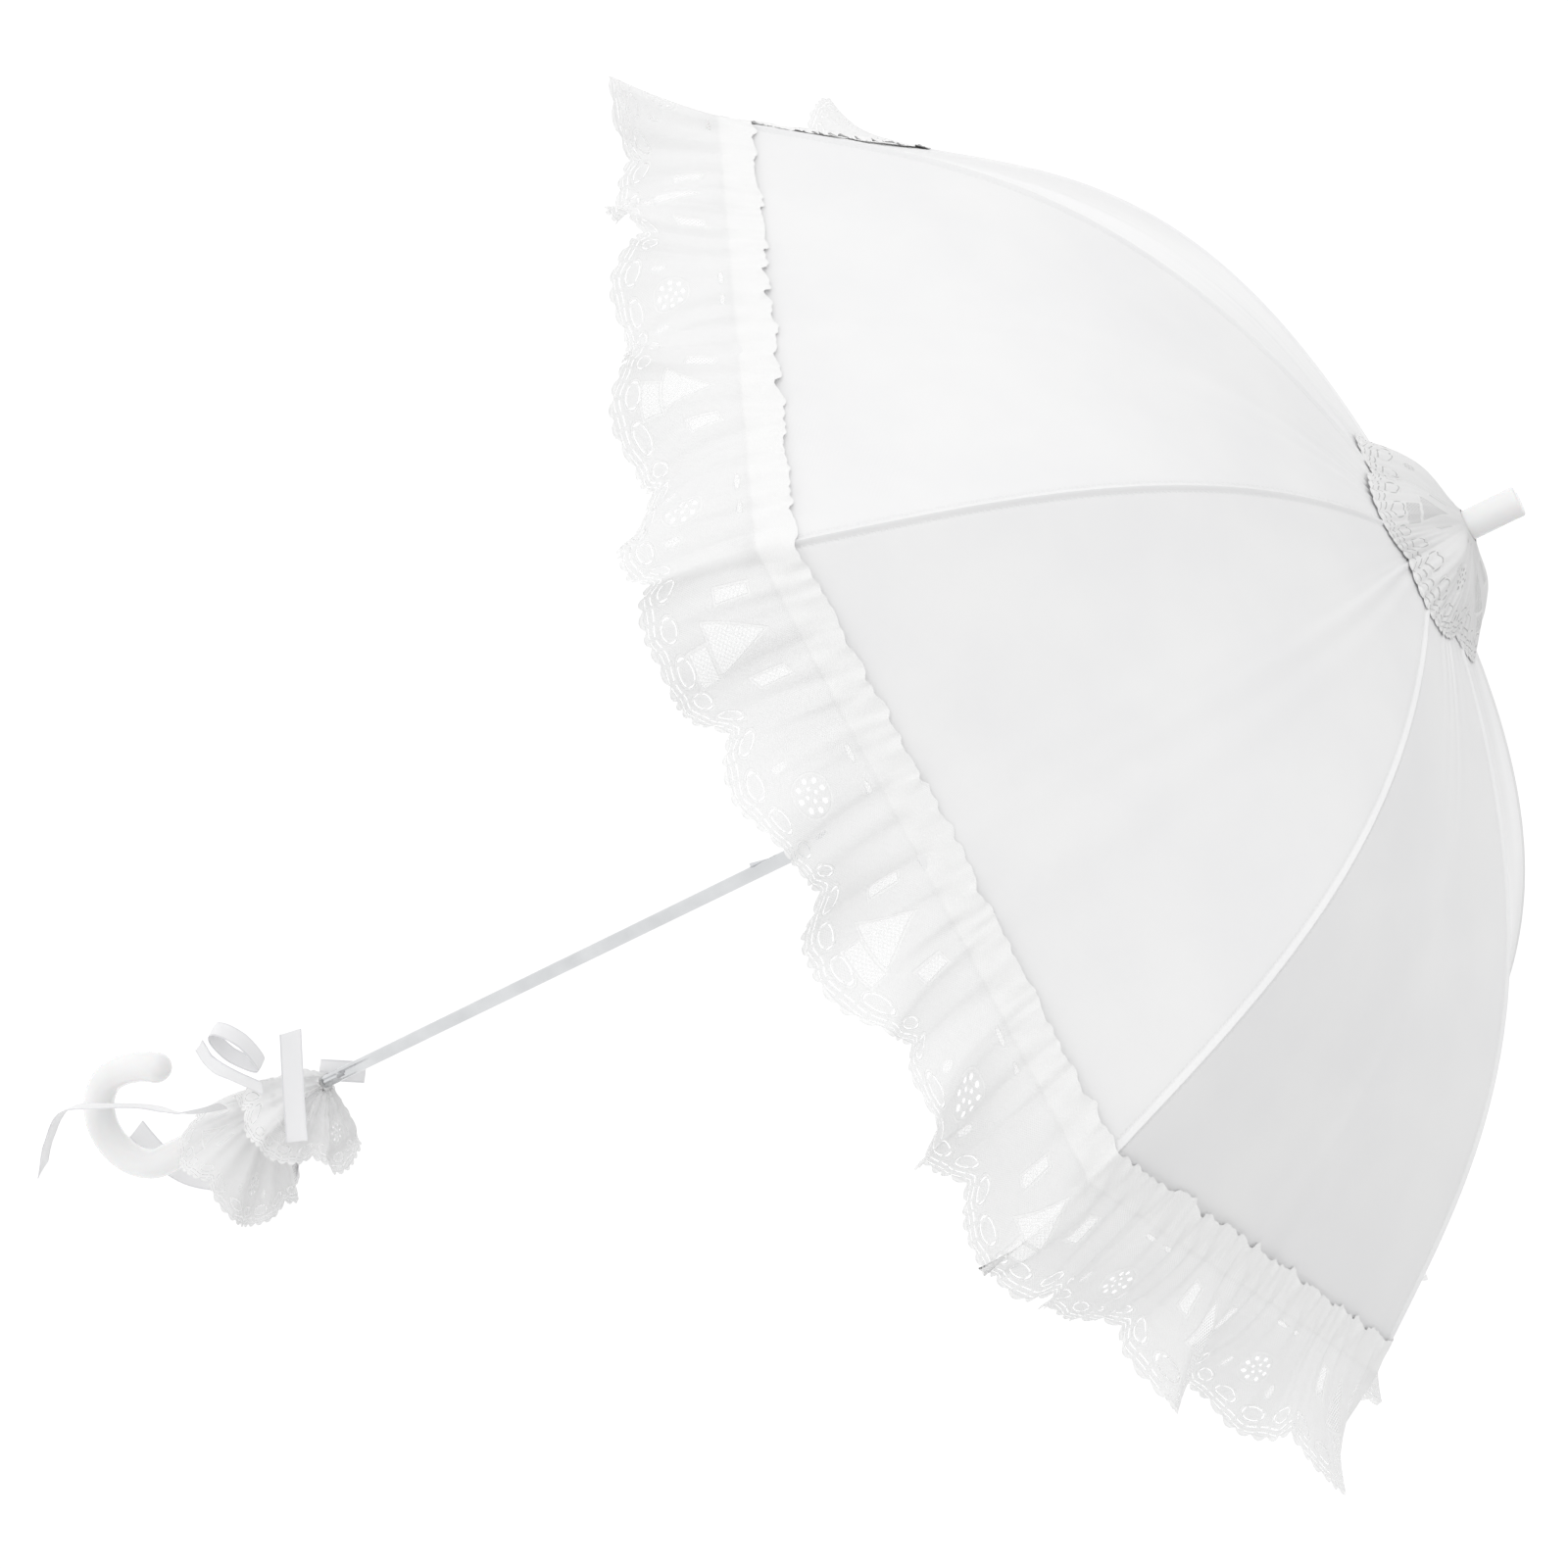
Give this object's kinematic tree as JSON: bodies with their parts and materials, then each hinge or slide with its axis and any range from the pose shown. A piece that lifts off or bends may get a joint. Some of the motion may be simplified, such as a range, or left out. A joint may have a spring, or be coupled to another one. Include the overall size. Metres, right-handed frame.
{
  "type": "lace parasol",
  "caption": "Small open parasol: scalloped lace hem on a domed satin canopy, folding ribs on a sliding runner, chrome shaft, hook handle with lace frill and ribbon bow",
  "frame": {"origin": "On the shaft's axis, in the handle's stem where the hook begins to bend: the point that a hand grips, mount hand_grip", "axes": "+Z along the shaft to the ferrule's flat end, +X towards the side that the hook bends to, +Y completes the right-handed frame"},
  "size_m": [0.5304, 0.5304, 0.7417],
  "materials": {
    "white_plastic": "glossy moulded plastic",
    "shaft_chrome": "polished chrome plate",
    "rib_steel": "zinc-bright spring steel",
    "satin": "white satin, soft sheen",
    "lace": "white machine lace on a fine net ground",
    "ribbon": "white satin ribbon"
  },
  "bodies": {
    "root": {"shaft_tube": "shaft_chrome", "handle_hook": "white_plastic", "crown": "white_plastic", "crown_wire": "rib_steel", "stop_ring": "shaft_chrome", "ferrule": "white_plastic", "apex_rosette": "lace", "neck_frill": "lace", "neck_band": "ribbon", "bow_knot": "ribbon", "bow_loop_1": "ribbon", "bow_loop_2": "ribbon", "ribbon_tail_1": "ribbon", "ribbon_tail_2": "ribbon", "ribbon_tail_3": "ribbon"},
    "runner": {"runner": "white_plastic"},
    "top_catch": {"top_catch": "rib_steel"},
    "bottom_catch": {"bottom_catch": "rib_steel"},
    "rib_1": {"rib_1": "rib_steel", "rib_tip_1": "white_plastic", "canopy_1": "satin", "hem_lace_1": "lace"},
    "stretcher_1": {"stretcher_1": "rib_steel"},
    "rib_2": {"rib_2": "rib_steel", "rib_tip_2": "white_plastic", "canopy_2": "satin", "hem_lace_2": "lace"},
    "stretcher_2": {"stretcher_2": "rib_steel"},
    "rib_3": {"rib_3": "rib_steel", "rib_tip_3": "white_plastic", "canopy_3": "satin", "hem_lace_3": "lace"},
    "stretcher_3": {"stretcher_3": "rib_steel"},
    "rib_4": {"rib_4": "rib_steel", "rib_tip_4": "white_plastic", "canopy_4": "satin", "hem_lace_4": "lace"},
    "stretcher_4": {"stretcher_4": "rib_steel"},
    "rib_5": {"rib_5": "rib_steel", "rib_tip_5": "white_plastic", "canopy_5": "satin", "hem_lace_5": "lace"},
    "stretcher_5": {"stretcher_5": "rib_steel"},
    "rib_6": {"rib_6": "rib_steel", "rib_tip_6": "white_plastic", "canopy_6": "satin", "hem_lace_6": "lace"},
    "stretcher_6": {"stretcher_6": "rib_steel"},
    "rib_7": {"rib_7": "rib_steel", "rib_tip_7": "white_plastic", "canopy_7": "satin", "hem_lace_7": "lace"},
    "stretcher_7": {"stretcher_7": "rib_steel"},
    "rib_8": {"rib_8": "rib_steel", "rib_tip_8": "white_plastic", "canopy_8": "satin", "hem_lace_8": "lace"},
    "stretcher_8": {"stretcher_8": "rib_steel"}
  },
  "joints": [
    {"name": "runner_slide", "type": "slide", "parent": "root", "child": "runner", "axis": [0, 0, 1], "range_m": [-0.2233, 0]},
    {"name": "top_catch_press", "type": "slide", "parent": "root", "child": "top_catch", "axis": [-1, 0, 0], "range_m": [0, 0.0015], "stiffness_N_per_m": 250},
    {"name": "bottom_catch_press", "type": "slide", "parent": "root", "child": "bottom_catch", "axis": [-1, 0, 0], "range_m": [0, 0.0015], "stiffness_N_per_m": 250},
    {"name": "rib_hinge_1", "type": "hinge", "parent": "root", "child": "rib_1", "pos_m": [0.00831, 0.00344, 0.659], "axis": [-0.3827, 0.9239, 0], "range_deg": [0, 60.05], "deforming": ["canopy_1", "hem_lace_1"]},
    {"name": "stretcher_hinge_1", "type": "hinge", "parent": "rib_1", "child": "stretcher_1", "pos_m": [0.14784, 0.06124, 0.62075], "axis": [-0.3827, 0.9239, 0], "range_deg": [-120.1, 0]},
    {"name": "rib_hinge_2", "type": "hinge", "parent": "root", "child": "rib_2", "pos_m": [0.00344, 0.00831, 0.659], "axis": [-0.9239, 0.3827, 0], "range_deg": [0, 60.05], "deforming": ["canopy_2", "hem_lace_2"]},
    {"name": "stretcher_hinge_2", "type": "hinge", "parent": "rib_2", "child": "stretcher_2", "pos_m": [0.06124, 0.14784, 0.62075], "axis": [-0.9239, 0.3827, 0], "range_deg": [-120.1, 0]},
    {"name": "rib_hinge_3", "type": "hinge", "parent": "root", "child": "rib_3", "pos_m": [-0.00344, 0.00831, 0.659], "axis": [-0.9239, -0.3827, 0], "range_deg": [0, 60.05], "deforming": ["canopy_3", "hem_lace_3"]},
    {"name": "stretcher_hinge_3", "type": "hinge", "parent": "rib_3", "child": "stretcher_3", "pos_m": [-0.06124, 0.14784, 0.62075], "axis": [-0.9239, -0.3827, 0], "range_deg": [-120.1, 0]},
    {"name": "rib_hinge_4", "type": "hinge", "parent": "root", "child": "rib_4", "pos_m": [-0.00831, 0.00344, 0.659], "axis": [-0.3827, -0.9239, 0], "range_deg": [0, 60.05], "deforming": ["canopy_4", "hem_lace_4"]},
    {"name": "stretcher_hinge_4", "type": "hinge", "parent": "rib_4", "child": "stretcher_4", "pos_m": [-0.14784, 0.06124, 0.62075], "axis": [-0.3827, -0.9239, 0], "range_deg": [-120.1, 0]},
    {"name": "rib_hinge_5", "type": "hinge", "parent": "root", "child": "rib_5", "pos_m": [-0.00831, -0.00344, 0.659], "axis": [0.3827, -0.9239, 0], "range_deg": [0, 60.05], "deforming": ["canopy_5", "hem_lace_5"]},
    {"name": "stretcher_hinge_5", "type": "hinge", "parent": "rib_5", "child": "stretcher_5", "pos_m": [-0.14784, -0.06124, 0.62075], "axis": [0.3827, -0.9239, 0], "range_deg": [-120.1, 0]},
    {"name": "rib_hinge_6", "type": "hinge", "parent": "root", "child": "rib_6", "pos_m": [-0.00344, -0.00831, 0.659], "axis": [0.9239, -0.3827, 0], "range_deg": [0, 60.05], "deforming": ["canopy_6", "hem_lace_6"]},
    {"name": "stretcher_hinge_6", "type": "hinge", "parent": "rib_6", "child": "stretcher_6", "pos_m": [-0.06124, -0.14784, 0.62075], "axis": [0.9239, -0.3827, 0], "range_deg": [-120.1, 0]},
    {"name": "rib_hinge_7", "type": "hinge", "parent": "root", "child": "rib_7", "pos_m": [0.00344, -0.00831, 0.659], "axis": [0.9239, 0.3827, 0], "range_deg": [0, 60.05], "deforming": ["canopy_7", "hem_lace_7"]},
    {"name": "stretcher_hinge_7", "type": "hinge", "parent": "rib_7", "child": "stretcher_7", "pos_m": [0.06124, -0.14784, 0.62075], "axis": [0.9239, 0.3827, 0], "range_deg": [-120.1, 0]},
    {"name": "rib_hinge_8", "type": "hinge", "parent": "root", "child": "rib_8", "pos_m": [0.00831, -0.00344, 0.659], "axis": [0.3827, 0.9239, 0], "range_deg": [0, 60.05], "deforming": ["canopy_8", "hem_lace_8"]},
    {"name": "stretcher_hinge_8", "type": "hinge", "parent": "rib_8", "child": "stretcher_8", "pos_m": [0.14784, -0.06124, 0.62075], "axis": [0.3827, 0.9239, 0], "range_deg": [-120.1, 0]}
  ],
  "couplings": [
    {"joint": "rib_hinge_1", "follows": "runner_slide", "rad_per_m": -4.6896},
    {"joint": "stretcher_hinge_1", "follows": "runner_slide", "rad_per_m": 9.3793},
    {"joint": "rib_hinge_2", "follows": "runner_slide", "rad_per_m": -4.6896},
    {"joint": "stretcher_hinge_2", "follows": "runner_slide", "rad_per_m": 9.3793},
    {"joint": "rib_hinge_3", "follows": "runner_slide", "rad_per_m": -4.6896},
    {"joint": "stretcher_hinge_3", "follows": "runner_slide", "rad_per_m": 9.3793},
    {"joint": "rib_hinge_4", "follows": "runner_slide", "rad_per_m": -4.6896},
    {"joint": "stretcher_hinge_4", "follows": "runner_slide", "rad_per_m": 9.3793},
    {"joint": "rib_hinge_5", "follows": "runner_slide", "rad_per_m": -4.6896},
    {"joint": "stretcher_hinge_5", "follows": "runner_slide", "rad_per_m": 9.3793},
    {"joint": "rib_hinge_6", "follows": "runner_slide", "rad_per_m": -4.6896},
    {"joint": "stretcher_hinge_6", "follows": "runner_slide", "rad_per_m": 9.3793},
    {"joint": "rib_hinge_7", "follows": "runner_slide", "rad_per_m": -4.6896},
    {"joint": "stretcher_hinge_7", "follows": "runner_slide", "rad_per_m": 9.3793},
    {"joint": "rib_hinge_8", "follows": "runner_slide", "rad_per_m": -4.6896},
    {"joint": "stretcher_hinge_8", "follows": "runner_slide", "rad_per_m": 9.3793}
  ]
}
